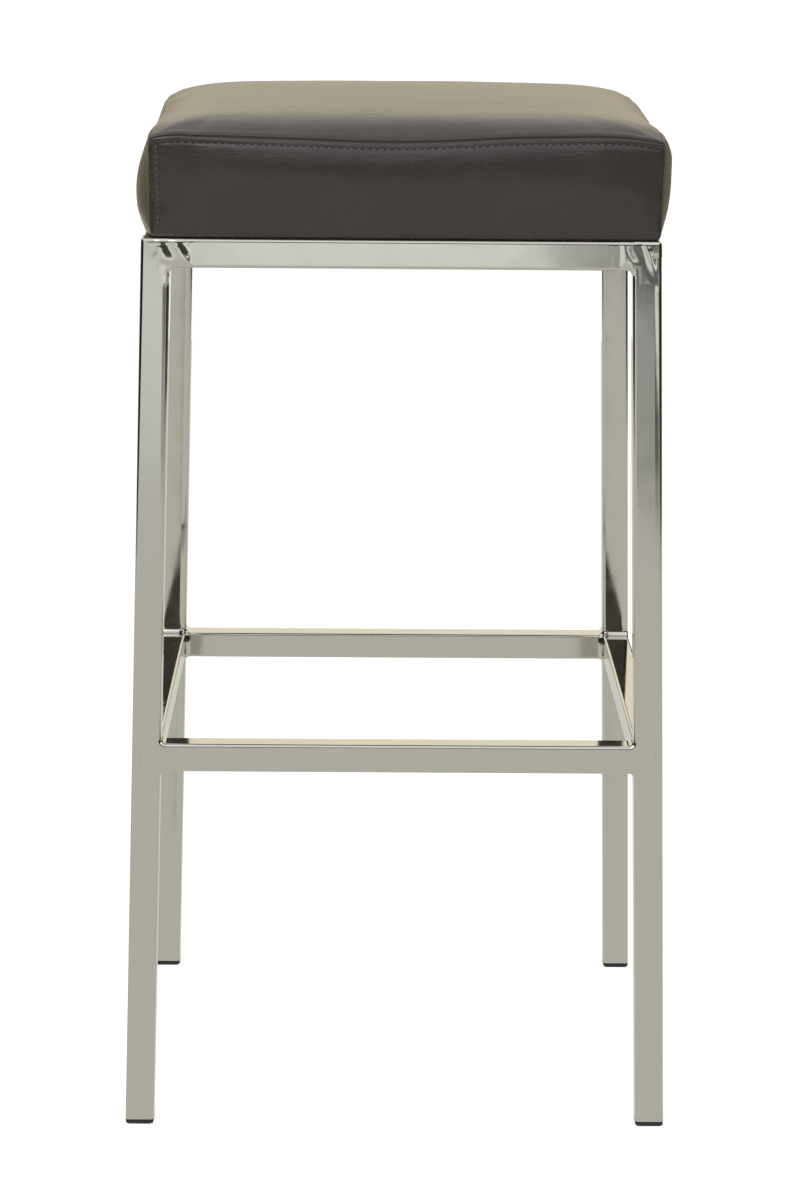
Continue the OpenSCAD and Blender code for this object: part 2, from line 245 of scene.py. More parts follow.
def chrome_plate(name, worn=False):
    """Bright chrome over welded tube: a grey mirror, with the slow waves of polished tube in it."""
    material, tree, shader, place = new_material(name)
    normal = bump(tree, shoulder(tree, place) if worn else 0.0, 1.0, 1.0)
    # Rolled tube waves over about 30 mm, and polishing leaves finer ones of 7 mm
    normal = bump(tree, mottled(tree, place, 30.0, 1.0), 1.0, 0.00006, normal)
    normal = bump(tree, mottled(tree, place, 7.0, 2.0), 1.0, 0.000006, normal)
    # Handling leaves faint smears, which only change the roughness
    smears = ranged(tree, mottled(tree, place, 22.0, 5.0), 0.35, 0.75, 0.05, 0.11)
    connect(tree, shader, {"Base Color": colour("#CFCDC7"), "Metallic": 1.0, "Roughness": smears,
                           "Normal": normal})
    return material


def faux_leather():
    """Polyurethane leather embossed with a fine pebble grain: dark grey-brown, with a warm sheen."""
    material, tree, shader, place = new_material("faux_leather")
    # The emboss has pebbles of about 0.9 mm, drawn at 1.4 mm so that they show
    pebbles = add(tree, "ShaderNodeTexVoronoi", {"Vector": place, "Scale": 1 / 0.0014, "Randomness": 1.0},
                  feature="SMOOTH_F1").outputs["Distance"]
    normal = bump(tree, pebbles, 0.5, -0.00010)
    # Stretched skin shows fine creases along the seat, 12 mm long and 1.7 mm apart. They are deepest in the
    # band under the top seam, where the skin is gathered.
    creases = mottled(tree, place, (12.0, 12.0, 1.7), 3.0, warp=0.6)
    height = add(tree, "ShaderNodeSeparateXYZ", {"Vector": place}).outputs["Z"]
    seam = FRAME_TOP + SEAM_HEIGHT
    depth = ranged(tree, height, (seam - 25) * MM, (seam - 11) * MM, 0.00008, 0.00030, "SMOOTHSTEP")
    normal = bump(tree, creases, 0.5, depth, normal)
    # Sitting leaves long soft rumples across the top
    rumples = mottled(tree, place, (150.0, 40.0, 40.0), 3.0, warp=0.4)
    normal = bump(tree, rumples, 1.0, 0.0015, normal)
    # The clear topcoat is slightly amber, which shows where the skin is seen at a slant
    connect(tree, shader, {"Base Color": tones(tree, mottled(tree, place, 45.0, 3.0), "#353130", "#3B3735"),
                           "Roughness": ranged(tree, pebbles, 0.0, 0.9, 0.24, 0.34), "Normal": normal,
                           "IOR": 1.5, "Sheen Weight": 0.34, "Sheen Roughness": 0.45,
                           "Sheen Tint": colour("#F0DDB4")})
    return material


def polyester_thread():
    """Bonded polyester thread: a matt grey twist."""
    material, tree, shader, place = new_material("polyester_thread")
    twist = add(tree, "ShaderNodeTexWave", {"Vector": place, "Scale": 1 / 0.0012, "Distortion": 1.0},
                bands_direction="DIAGONAL").outputs["Fac"]
    connect(tree, shader, {"Base Color": tones(tree, twist, "#5A5651", "#7E7A74", (0.2, 0.8)),
                           "Roughness": 0.7})
    return material


def painted_hole_shade():
    """The shade inside a stitch hole, painted as a near-black tone."""
    material, tree, shader, place = new_material("painted_hole_shade")
    # The near-black tone is painted shade for the hole's inside, with a faint mottle in it
    shade_mottle = mottled(tree, place, 1.0, 2.0)
    connect(tree, shader, {"Base Color": tones(tree, shade_mottle, "#0E0D0C", "#171615"), "Roughness": 0.9})
    return material


def moulded_polyethylene():
    """Black injection-moulded polyethylene: waxy, with a fine spark-eroded texture."""
    material, tree, shader, place = new_material("moulded_polyethylene")
    spark = mottled(tree, place, 0.6, 2.0)
    connect(tree, shader, {"Base Color": tones(tree, spark, "#161616", "#202020", (0.2, 0.8)),
                           "Roughness": 0.48, "Normal": bump(tree, spark, 0.4, 0.00004)})
    return material


def zinc_plate():
    """Bright zinc on steel fasteners: a greyish satin metal."""
    material, tree, shader, place = new_material("zinc_plate")
    cloud = mottled(tree, place, 3.0, 3.0)
    connect(tree, shader, {"Base Color": tones(tree, cloud, "#B4B7BA", "#C6C8C9"), "Metallic": 1.0,
                           "Roughness": ranged(tree, cloud, 0.0, 1.0, 0.25, 0.45)})
    return material


def birch_plywood():
    """Rotary-cut birch: pale, with long wavy grain along X."""
    material, tree, shader, place = new_material("birch_plywood")
    # Growth rings show as bands about 9 mm wide and many times as long
    grain = mottled(tree, place, (120.0, 9.0, 9.0), 6.0, warp=1.2)
    connect(tree, shader, {"Base Color": tones(tree, grain, "#C39F6E", "#DCC296"), "Roughness": 0.62,
                           "Normal": bump(tree, grain, 0.4, 0.00008)})
    return material


def non_woven_cloth():
    """Black spun-bonded polypropylene cloth: matt, with fine bonding points and loose fibres."""
    material, tree, shader, place = new_material("non_woven_cloth")
    # Bonding points lie about 1.5 mm apart
    points = add(tree, "ShaderNodeTexVoronoi", {"Vector": place, "Scale": 1 / 0.0015, "Randomness": 0.25})
    fibres = mottled(tree, place, 0.8, 4.0)
    connect(tree, shader, {"Base Color": tones(tree, fibres, "#171717", "#2A2A2A"), "Roughness": 0.88,
                           "Normal": bump(tree, points.outputs["Distance"], 0.6, 0.00015)})
    return material


CHROME = chrome_plate("chrome_plate")
LEG_CHROME = chrome_plate("worn_chrome_plate", worn=True)
LEATHER = faux_leather()
THREAD = polyester_thread()
# Painted shade for the needle holes
HOLE_SHADE = painted_hole_shade()
PLASTIC = moulded_polyethylene()
ZINC = zinc_plate()
PLYWOOD = birch_plywood()
CLOTH = non_woven_cloth()


# Cushion

# Height of the top seam over its corners' level, along each side. Front and rear run left to right,
# left and right run front to rear.
PLAIN_SEAM = [-1, -0.93, -0.78, -0.5, -0.2, 0, 0.2, 0.5, 0.78, 0.93, 1]
SEAM_LIFT = {
    "front": curve_through([-1, -0.93, -0.8, -0.57, -0.41, -0.17, 0, 0.13, 0.44, 0.59, 0.74, 0.86, 0.95, 1],
                           [-0.2, 2.2, 2.1, 0.9, 0.1, -1.5, -1.7, -0.9, 2.2, 2.8, 3.3, 2.5, 0.3, -1.6]),
    "rear": curve_through(PLAIN_SEAM, [-0.8, 2.0, 2.8, 1.2, -0.7, -1.2, -0.7, 1.2, 2.8, 2.0, -0.8]),
    "left": curve_through(PLAIN_SEAM, [-0.2, 2.0, 2.8, 1.2, -0.7, -1.2, -0.7, 1.2, 2.8, 2.0, -0.8]),
    "right": curve_through(PLAIN_SEAM, [-1.6, 1.6, 2.8, 1.2, -0.7, -1.2, -0.7, 1.2, 2.8, 2.0, -0.8])}
# How far each side swells, from the frame (0) to the top seam (1)
SIDE_SWELL = {
    "front": curve_through([0, 0.15, 0.35, 0.6, 0.7, 0.8, 0.9, 1], [0.5, 4.5, 7.5, 9.3, 8.9, 7.6, 5.2, 1.2]),
    "rear": curve_through([0, 0.15, 0.35, 0.6, 0.78, 0.9, 1], [0.5, 4.5, 8.0, 10.0, 9.3, 7.0, 3.0]),
    "left": curve_through([0, 0.15, 0.35, 0.6, 0.8, 1], [9.0, 15.0, 16.9, 14.4, 8.5, 0.0]),
    "right": curve_through([0, 0.15, 0.35, 0.6, 0.8, 0.92, 1], [4.2, 10.0, 13.2, 13.6, 12.0, 6.5, 0.0])}
# How far the top seam itself stands out along each side
SEAM_SWELL = {
    "front": np.zeros_like,
    "rear": np.zeros_like,
    "left": curve_through([-1, -0.5, 0, 0.5, 0.85, 1], [0, 0.0, 1.5, 3.7, 3.3, 0]),
    "right": curve_through([-1, -0.5, 0, 0.5, 1], [0, 0.0, -1.0, -0.4, 0])}
SIDES = {"front": (0, -1), "rear": (0, 1), "left": (-1, 0), "right": (1, 0)}
UP = np.array([0.0, 0.0, 1.0])
# Stitching: the rows below the top seam and beside the corner seams, and the lengths of their stitches
STITCH_DROP = 5.6
STITCH_PITCH = 5.5
CORNER_STITCH = 5.5
CORNER_PITCH = 4.5
# The fold where two panels meet
SEAM_DEPTH = 2.5
SEAM_WIDTH = 0.6
# How far from a seam the rows of the skin's points lie, and how many follow down to a side's rounded edge
NEAR_SEAM = (0, 0.35, 0.8, 1.4, 2.2, 3.2, 4.4, 5.6, 6.8, 8.2, 10)
ROWS_BELOW = 13


def half_width(h):
    """The cushion's half width at a height: 0 is the frame and 1 the top seam."""
    return HALF_LOW + (HALF_HIGH - HALF_LOW) * h**3


def swell(side, s, h):
    """How far a side stands out at s along it, -1 to 1, and h up it."""
    towards_ends = 1 - np.abs(s) ** np.where(s > 0, 8, 5)
    return SIDE_SWELL[side](h) * towards_ends + SEAM_SWELL[side](s) * h**3


def side_base(side, s, r):
    """A point of a side panel before its seams are drawn in. s runs along it, and r down from the seam."""
    lift = SEAM_HEIGHT + SEAM_LIFT[side](s)
    wall = lift - BOTTOM_ROUND
    h = 1 - np.minimum(r, wall) / lift
    turn = np.clip((r - wall) / BOTTOM_ROUND, 0, math.pi / 2)
    out = half_width(h) + swell(side, s, h) - BOTTOM_ROUND * (1 - np.cos(turn))
    z = FRAME_TOP + HEM_GAP + (lift - HEM_GAP) * h - BOTTOM_ROUND * (1 - HEM_GAP / lift) * np.sin(turn)
    along = s * (half_width(h) - BOTTOM_ROUND * (1 - np.cos(turn)))
    middle = SHIFT_LOW + (SHIFT_HIGH - SHIFT_LOW) * h
    nx, ny = SIDES[side]
    if nx:
        return np.stack([middle + nx * out, along * (1 - DEPTH_LESS / HALF_HIGH), z], -1)
    return np.stack([middle + along, ny * (out - DEPTH_LESS), z], -1)


def top_base(u, v):
    """A point of the crowned top, u to the right and v to the rear."""
    one = np.ones_like(u)
    wide = np.where(u < 0, swell("left", v, one), swell("right", v, one))
    deep = np.where(v < 0, swell("front", u, one), swell("rear", u, one))
    near_u, near_v = np.abs(u) ** 8, np.abs(v) ** 8
    fronts = np.where(v < 0, SEAM_LIFT["front"](u), SEAM_LIFT["rear"](u))
    flanks = np.where(u < 0, SEAM_LIFT["left"](v), SEAM_LIFT["right"](v))
    corner = np.where(u < 0, SEAM_LIFT["left"](np.sign(v)), SEAM_LIFT["right"](np.sign(v)))
    edge = fronts * near_v + flanks * near_u - corner * near_u * near_v
    side_roll, end_roll = 1 - np.abs(u) ** SIDE_ROLL_POWER, 1 - np.abs(v) ** ROLL_POWER
    crown = ROLL * side_roll * end_roll + DOME * (1 - u**2) * (1 - v**2) * (1 + 0.5 * v)
    return np.stack([SHIFT_HIGH + u * HALF_HIGH + np.sign(u) * wide * np.abs(u) ** 3,
                     v * (HALF_HIGH - DEPTH_LESS) + np.sign(v) * deep * np.abs(v) ** 3,
                     FRAME_TOP + SEAM_HEIGHT + edge + crown], -1)


def slope_normals(points, outward):
    """Normals of a grid of points, turned to the side that outward points to."""
    normal = unit(np.cross(np.gradient(points, axis=0), np.gradient(points, axis=1)))
    return normal * np.sign(np.sum(normal[normal.shape[0] // 2, normal.shape[1] // 3] * outward))


def seam_relief(distance):
    """The fold of a seam, deepest where the panels meet, and the skin's roll beside it."""
    roll = 0.25 * hump(distance, 3.0, 1.6) * smooth(0, 1, distance)
    return roll - SEAM_DEPTH * np.exp(-distance / SEAM_WIDTH)


def at_seam(distance):
    """1 at a seam, and 0 where the skin lies free of it."""
    return (1 - smooth(0, 2.5, distance))[..., None]


def side_skin(side, s, r, settled):
    """A side panel with its seams, stitched rows and creases, over its settled form."""
    nx, ny = SIDES[side]
    outward = np.array([nx, ny, 0.0])
    sideways = np.sign(s)[..., None] * np.array([abs(ny), abs(nx), 0.0])
    wall = SEAM_HEIGHT + SEAM_LIFT[side](s) - BOTTOM_ROUND
    ends = (1 - np.abs(s)) * HALF_HIGH
    panel = slope_normals(settled, outward)
    low, beside = at_seam(r), at_seam(ends)
    near = np.maximum(low, beside)
    normal = unit(panel * (1 - near) + outward * near + UP * low + sideways * beside)
    on_wall = 1 - smooth(wall - 3, wall + 3, r)
    rise = seam_relief(np.minimum(r, ends + 20 * (1 - on_wall)))
    # The skin is drawn down along each row, and most at the needle holes
    start = s * HALF_HIGH / STITCH_PITCH
    holes = 0.5 + 0.5 * np.cos(2 * math.pi * start)
    rise = rise - (0.3 + 0.5 * holes) * hump(r, STITCH_DROP, 1.0) * smooth(2, 6, ends)
    left_end = (1 + s * (1 if side in ("front", "right") else -1)) * HALF_HIGH
    rise = rise - 0.4 * hump(left_end, CORNER_STITCH, 0.9) * on_wall * smooth(3, 6, r)
    # Under the seam the skin is gathered a little, and it slackens towards the frame
    gathers = hump(r, 14, 9) * smooth(0, 8, r) * smooth(3, 12, ends)
    fold = ripple(settled * np.array([1, 1, 2.4]), 15, 3.0) * gathers
    slack = ripple(settled, 60, 5.0) * smooth(8, 30, r) * on_wall * smooth(0, 20, ends)
    rise = rise + 0.22 * fold + 0.45 * slack
    # Each top corner is drawn in where three seams meet
    rise = rise - 0.9 * hump(np.hypot(ends - 3, (r - 5) * 0.7), 0, 3.0)
    return settled + normal * rise[..., None]


def top_skin(u, v, settled):
    """The top panel with its seam and creases, over its settled form."""
    flank, end = (1 - np.abs(u)) * HALF_HIGH, (1 - np.abs(v)) * HALF_HIGH
    beside, ahead = at_seam(flank), at_seam(end)
    near = np.maximum(beside, ahead)
    out_x = np.sign(u)[..., None] * np.array([1.0, 0, 0])
    out_y = np.sign(v)[..., None] * np.array([0, 1.0, 0])
    normal = unit(slope_normals(settled, UP) * (1 - near) + UP * near + out_x * beside + out_y * ahead)
    edge = np.minimum(flank, end)
    rise = seam_relief(edge)
    # Pulled skin folds out of each corner in a fan of soft ridges
    reach, bearing = np.hypot(flank, end), np.arctan2(end, flank + 1e-6)
    fan = np.cos(bearing * 9 + np.where(u < 0, 0.6, 2.2) + np.where(v < 0, 0.0, 1.0))
    rise = rise + 0.35 * fan * hump(reach, 24, 17) * smooth(1.5, 8, edge)
    drape = 0.35 * ripple(settled, 85, 8.0) + 0.12 * ripple(settled * np.array([0.35, 1, 1]), 15, 2.0)
    rise = rise + drape * smooth(0, 25, edge)
    return settled + normal * rise[..., None]


def stations(length, pitch):
    """Distances along a seam, close together near both corners."""
    inner = length - 2 * NEAR_SEAM[-1]
    count = int(round(inner / pitch))
    middle = [NEAR_SEAM[-1] + inner * k / count for k in range(1, count)]
    return np.array(list(NEAR_SEAM) + middle + [length - d for d in reversed(NEAR_SEAM)])


def side_rows(side, s):
    """Distances down each column of a side panel: close together at the seam, then round the lower edge."""
    wall = SEAM_HEIGHT + SEAM_LIFT[side](s) - BOTTOM_ROUND
    below = [NEAR_SEAM[-1] + (wall - NEAR_SEAM[-1]) * k / ROWS_BELOW for k in range(1, ROWS_BELOW + 1)]
    turned = [wall + BOTTOM_ROUND * math.pi / 2 * k / 3 for k in (1, 2, 3)]
    return np.stack([np.full_like(s, d) for d in NEAR_SEAM] + below + turned, -1)


def hem(side, s, rim):
    """The cover's edge, turned in under the board: from the rim in, and up past the board's face."""
    nx, ny = SIDES[side]
    inner = np.stack([(nx + abs(ny) * s) * HEM_END, (ny + abs(nx) * s) * HEM_END, rim[:, 2]], -1)
    rows = [rim + (inner - rim) * k / 6 for k in range(7)]
    pucker = 0.12 * np.abs(ripple(np.stack(rows, 1), 7, 4.0))
    pucker[:, 0] = 0
    flat = np.stack(rows, 1) + UP * pucker[..., None]
    return np.concatenate([flat, (inner + UP * 3)[:, None]], 1)


def lay_panel(points, faces, grid):
    """Adds a grid of points and its faces to those of a mesh."""
    faces.extend(grid_faces(grid.shape[0], grid.shape[1], sum(len(p) for p in points)))
    points.append(grid.reshape(-1, 3))


def cushion():
    """The whole cover as one skin: the top, four sides and the hem turned in under the board."""
    along = stations(2 * HALF_HIGH, STITCH_PITCH / 2) / HALF_HIGH - 1
    points, faces, walls = [], [], {}
    u, v = np.meshgrid(along, along, indexing="ij")
    lay_panel(points, faces, top_skin(u, v, top_base(u, v) + give("top", u, v)))
    for side in SIDES:
        r = side_rows(side, along)
        s = np.broadcast_to(along[:, None], r.shape)
        wall = SEAM_HEIGHT + SEAM_LIFT[side](s) - BOTTOM_ROUND
        grid = side_skin(side, s, r, side_base(side, s, r) + give(side, s, 2 * np.minimum(r / wall, 1) - 1))
        walls[side] = (along, r, grid)
        lay_panel(points, faces, grid)
        lay_panel(points, faces, hem(side, along, grid[:, -1]))
    return make_piece("seat_cover", np.concatenate(points), faces, LEATHER, merge=0.02), walls


# How the filled cover settles

# Cells along a panel and down a side panel, frames of the simulation, and the highest fold
PANEL_CELLS, WALL_CELLS = 76, 14
SETTLE_FRAMES = 20
MOST_GIVE = 3.0


def coarse_grid(panel):
    """A panel's own two coordinates, -1 to 1, and its points."""
    cells = PANEL_CELLS if panel == "top" else WALL_CELLS
    a, b = np.meshgrid(np.linspace(-1, 1, PANEL_CELLS + 1), np.linspace(-1, 1, cells + 1), indexing="ij")
    if panel == "top":
        return a, b, top_base(a, b)
    wall = SEAM_HEIGHT + SEAM_LIFT[panel](a) - BOTTOM_ROUND
    return a, b, side_base(panel, a, (b + 1) / 2 * wall)


def from_corner(panel, a, b):
    """How far a point of a panel is from its nearest corner, in half panels."""
    return np.hypot(1 - np.abs(a), (1 - np.abs(b)) * (1 if panel == "top" else 0.2))


def folds_only(panel, field):
    """What is sharp in how a panel moves, near its corners: its swell is in the fitted form already."""
    soft = field.copy()
    for _ in range(18):
        soft[1:-1] = (soft[:-2] + 2 * soft[1:-1] + soft[2:]) / 4
        soft[:, 1:-1] = (soft[:, :-2] + 2 * soft[:, 1:-1] + soft[:, 2:]) / 4
    a, b, _ = coarse_grid(panel)
    folds = (field - soft) * np.exp(-(from_corner(panel, a, b) / 0.5) ** 2)[..., None]
    folds = folds * (0.6 if panel == "top" else 0.3)
    size = np.linalg.norm(folds, axis=-1, keepdims=True)
    return folds * np.tanh(size / MOST_GIVE) * MOST_GIVE / np.maximum(size, 1e-6)


def settle():
    """Runs cloth over the filled form: the panels, cut slightly large, buckle against their sewn edges.

    Returns how far each point of each panel's coarse grid moves.
    """
    grids = {panel: coarse_grid(panel) for panel in ("top", *SIDES)}
    points, faces, sewn, spare = [], [], [], []
    for panel, (a, b, base) in grids.items():
        outward = UP if panel == "top" else np.array([*SIDES[panel], 0.0])
        facing = np.cross(base[2, 1] - base[1, 1], base[1, 2] - base[1, 1])
        laid = []
        lay_panel(points, laid, base)
        faces.extend(laid if facing @ outward < 0 else [face[::-1] for face in laid])
        at_edge = (np.abs(a) > 0.999) | (np.abs(b) > 0.999)
        sewn.append(at_edge.reshape(-1))
        spare.append((0.9 - 0.9 * np.exp(-from_corner(panel, a, b) / 0.3)).reshape(-1))
    mesh = bpy.data.meshes.new("settling")
    mesh.from_pydata([tuple(p) for p in np.concatenate(points) * MM], [], faces)
    skin = bpy.data.objects.new("settling", mesh)
    bpy.context.scene.collection.objects.link(skin)
    held = skin.vertex_groups.new(name="held")
    held.add([int(i) for i in np.flatnonzero(np.concatenate(sewn))], 1.0, "REPLACE")
    slack = skin.vertex_groups.new(name="slack")
    for i, weight in enumerate(np.concatenate(spare)):
        slack.add([i], float(weight), "REPLACE")
    cloth = skin.modifiers.new("cloth", "CLOTH")
    cloth.settings.quality = 6
    cloth.settings.mass = 0.25
    cloth.settings.tension_stiffness = 25
    cloth.settings.compression_stiffness = 25
    cloth.settings.bending_stiffness = 0.6
    cloth.settings.use_pressure = True
    cloth.settings.uniform_pressure_force = 4.0
    cloth.settings.vertex_group_mass = "held"
    cloth.settings.vertex_group_shrink = "slack"
    cloth.settings.shrink_min = -0.012
    cloth.settings.shrink_max = 0.0
    cloth.settings.effector_weights.gravity = 0.0
    for step in range(1, SETTLE_FRAMES + 1):
        bpy.context.scene.frame_set(step)
    done = skin.evaluated_get(bpy.context.evaluated_depsgraph_get())
    moved = np.zeros(len(mesh.vertices) * 3)
    done.data.vertices.foreach_get("co", moved)
    shift = moved.reshape(-1, 3) / MM - np.concatenate(points)
    bpy.context.scene.frame_set(1)
    bpy.data.objects.remove(skin)
    ends = np.cumsum([len(p) for p in points])[:-1]
    return {panel: folds_only(panel, part.reshape(grids[panel][2].shape))
            for panel, part in zip(grids, np.split(shift, ends))}


SETTLED = settle()


def give(panel, a, b):
    """How far the skin has settled at a point of a panel, -1 to 1 both ways."""
    field = SETTLED[panel]
    i = (a + 1) / 2 * (field.shape[0] - 1)
    j = (b + 1) / 2 * (field.shape[1] - 1)
    i0 = np.clip(i.astype(int), 0, field.shape[0] - 2)
    j0 = np.clip(j.astype(int), 0, field.shape[1] - 2)
    ti, tj = (i - i0)[..., None], (j - j0)[..., None]
    ti, tj = ti * ti * (3 - 2 * ti), tj * tj * (3 - 2 * tj)
    return ((field[i0, j0] * (1 - ti) + field[i0 + 1, j0] * ti) * (1 - tj)
            + (field[i0, j0 + 1] * (1 - ti) + field[i0 + 1, j0 + 1] * ti) * tj)


seat_cover, cover_walls = cushion()
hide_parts("top_panel", "front_boxing", "rear_boxing", "left_boxing", "right_boxing",
            "seat_foam")


# Stitching

def on_wall(side, s, r):
    """A point of a finished side panel and its outward normal, at s along it and r below the seam."""
    along, rows, grid = cover_walls[side]
    i = int(np.clip(np.searchsorted(along, s) - 1, 0, len(along) - 2))
    t = (s - along[i]) / (along[i + 1] - along[i])
    column = grid[i] * (1 - t) + grid[i + 1] * t
    depths = rows[i] * (1 - t) + rows[i + 1] * t
    j = int(np.clip(np.searchsorted(depths, r) - 1, 0, len(depths) - 2))
    f = (r - depths[j]) / (depths[j + 1] - depths[j])
    place = column[j] * (1 - f) + column[j + 1] * f
    across = grid[i + 1, j] - grid[i, j]
    down = column[j + 1] - column[j]
    nx, ny = SIDES[side]
    normal = unit(np.cross(across, down))
    return place, normal * np.sign(normal @ np.array([nx, ny, 0.0]))


def thread_between(points, faces, start, end, normal, lift, radius=0.3, sides=7):
    """One stitch: thread that comes out of one hole, lies along the skin and goes into the next."""
    along = end - start
    across = unit(np.cross(normal, along))
    rings = [(0.0, -0.7), (0.07, lift - 0.25), (0.2, lift), (0.5, lift + 0.08), (0.8, lift),
             (0.93, lift - 0.25), (1.0, -0.7)]
    first = len(points)
    for t, rise in rings:
        centre = start + along * t + normal * rise
        for k in range(sides):
            turn = 2 * math.pi * k / sides
            points.append(centre + radius * (across * math.cos(turn) + normal * math.sin(turn)))
    for i in range(len(rings) - 1):
        for k in range(sides):
            a, b = first + i * sides + k, first + i * sides + (k + 1) % sides
            faces.append((a, b, b + sides, a + sides))


def hole_shade_at(points, faces, place, along, normal, length, width, sides=10):
    """A needle hole that the thread has pulled long, as a dimple of painted shade: a dark disc that lies on
    the skin.
    """
    along = unit(along)
    across = unit(np.cross(normal, along))
    first = len(points)
    points.append(place + normal * 0.05)
    for k in range(sides):
        turn = 2 * math.pi * k / sides
        rim = along * math.cos(turn) * length / 2 + across * math.sin(turn) * width / 2
        points.append(place + rim + normal * 0.12)
    for k in range(sides):
        faces.append((first, first + 1 + k, first + 1 + (k + 1) % sides))


def stitching():
    """The rows of thread, and of needle holes drawn as dark discs of painted shade, on all four sides."""
    threads, thread_faces, holes, hole_shade_faces = [], [], [], []
    for side in SIDES:
        left = -1 if side in ("front", "right") else 1
        # The row under the top seam has its holes where the skin is drawn down
        count = int((HALF_HIGH - 6) / STITCH_PITCH)
        row = [(k * STITCH_PITCH / HALF_HIGH, STITCH_DROP) for k in range(-count, count + 1)]
        wall = SEAM_HEIGHT - BOTTOM_ROUND
        steps = int((wall - STITCH_DROP - 6) / CORNER_PITCH)
        upright = [(left * (1 - CORNER_STITCH / HALF_HIGH), STITCH_DROP + 3 + k * CORNER_PITCH)
                   for k in range(steps + 1)]
        for line, hole_length, hole_width, inset, lift in ((row, 2.6, 1.3, 0.26, -0.12),
                                                           (upright, 1.0, 0.8, 0.12, 0.16)):
            spots = [on_wall(side, s, r) for s, r in line]
            for (a, normal_a), (b, normal_b) in zip(spots, spots[1:]):
                ends = a + (b - a) * inset, b - (b - a) * inset
                thread_between(threads, thread_faces, *ends, unit(normal_a + normal_b), lift)
            # Each needle hole is a dark disc of painted shade, laid on the skin
            for (a, normal_a), (b, normal_b) in zip(spots, spots[1:] + spots[-2:-1]):
                hole_shade_at(holes, hole_shade_faces, a, b - a, normal_a, hole_length, hole_width)
    make_piece("top_stitches", threads, thread_faces, THREAD)
    # The needle holes' darkness is painted shade
    make_piece("painted_hole_shades", holes, hole_shade_faces, HOLE_SHADE)


stitching()


# Welds

def leg_out(z):
    """How far out a leg's outer face stands at a height."""
    return FRAME_HALF + LEG_SPREAD * (FRAME_TOP - z) / LEG_RUN


def weld_strip(mid, end):
    """The weld at a rail's end, in the corner's own axes: out along the rail, out of its face, and up.

    It runs along the rail's edge, round the fillet and along the leg, and across from well inside the outer
    face, over the rounded edge and through to the inner face. end is -1 for the rail's underside and 1 for
    its top.
    """
    level = mid + end * TUBE / 2
    inner = leg_out(level) - TUBE
    turn = np.radians(np.linspace(0, 90, 10))
    lead = np.array([6.0, 3.0, 1.0])
    path = np.concatenate([
        np.stack([inner - FILLET - lead, np.full(3, level)], -1),
        np.stack([inner - FILLET + FILLET * np.sin(turn), level + end * FILLET * (1 - np.cos(turn))], -1),
        np.stack([np.full(3, inner), level + end * (FILLET + lead[::-1])], -1)])
    facing = np.concatenate([np.tile([0.0, end], (3, 1)), np.stack([-np.sin(turn), end * np.cos(turn)], -1),
                             np.tile([-1.0, 0.0], (3, 1))])
    # Its ends sink into the tubes, and its middle stands a little proud
    sink = np.concatenate([[0.06, 0.03, 0.0], np.full(10, -0.01), [0.0, 0.03, 0.06]])
    on_leg = smooth(-1, 1, np.linspace(-1.3, 1.3, len(path)))
    bend = np.radians([0, 15, 30, 45, 60, 75, 90])
    # Across the strip: how far each line is past the rail's edge, out of its face, and down into the metal
    across = [(-TUBE_EDGE - m, 0.0, s) for m, s in ((6.0, 0.03), (3.0, 0.0), (0.4, -0.01))]
    across += [(-TUBE_EDGE + TUBE_EDGE * math.sin(b), TUBE_EDGE * (math.cos(b) - 1), -0.01) for b in bend]
    across += [(0.0, -TUBE_EDGE - (TUBE - 2 * TUBE_EDGE) * k / 6, 0.0) for k in range(1, 6)]
    across += [(-TUBE_EDGE + TUBE_EDGE * math.cos(b), -TUBE + TUBE_EDGE * (1 - math.sin(b)), -0.01)
               for b in bend]
    grid = np.zeros((len(path), len(across), 3))
    for j, (depth, behind, dip) in enumerate(across):
        place = path + facing * (depth - sink[:, None] * (depth > -TUBE_EDGE / 2))
        lean = (leg_out(place[:, 1]) - leg_out(level)) * on_leg
        face = leg_out(mid) + (leg_out(place[:, 1]) - leg_out(mid)) * on_leg
        face = face - dip - sink * (depth < -TUBE_EDGE / 2)
        grid[:, j] = np.stack([place[:, 0] + lean, face + behind, place[:, 1]], -1)
    return grid


def ridge(a, high, start, end, widths, height):
    """A low ridge between two points of a joint's face, that runs out at both ends.

    It has its own width towards the rail and towards the leg's outer edge, and widens downwards.
    """
    (a0, b0), (a1, b1) = start, end
    length = math.hypot(a1 - a0, b1 - b0)
    along = ((a - a0) * (a1 - a0) + (high - b0) * (b1 - b0)) / length**2
    aside = ((a - a0) * (b1 - b0) - (high - b0) * (a1 - a0)) / length
    spread = 1 + smooth(0.35, 1.1, along)
    across = hump(aside / spread, 0, np.where(aside > 0, *widths))
    return height * across * smooth(-0.35, 0, along) * (1 - smooth(0.6, 1.4, along))


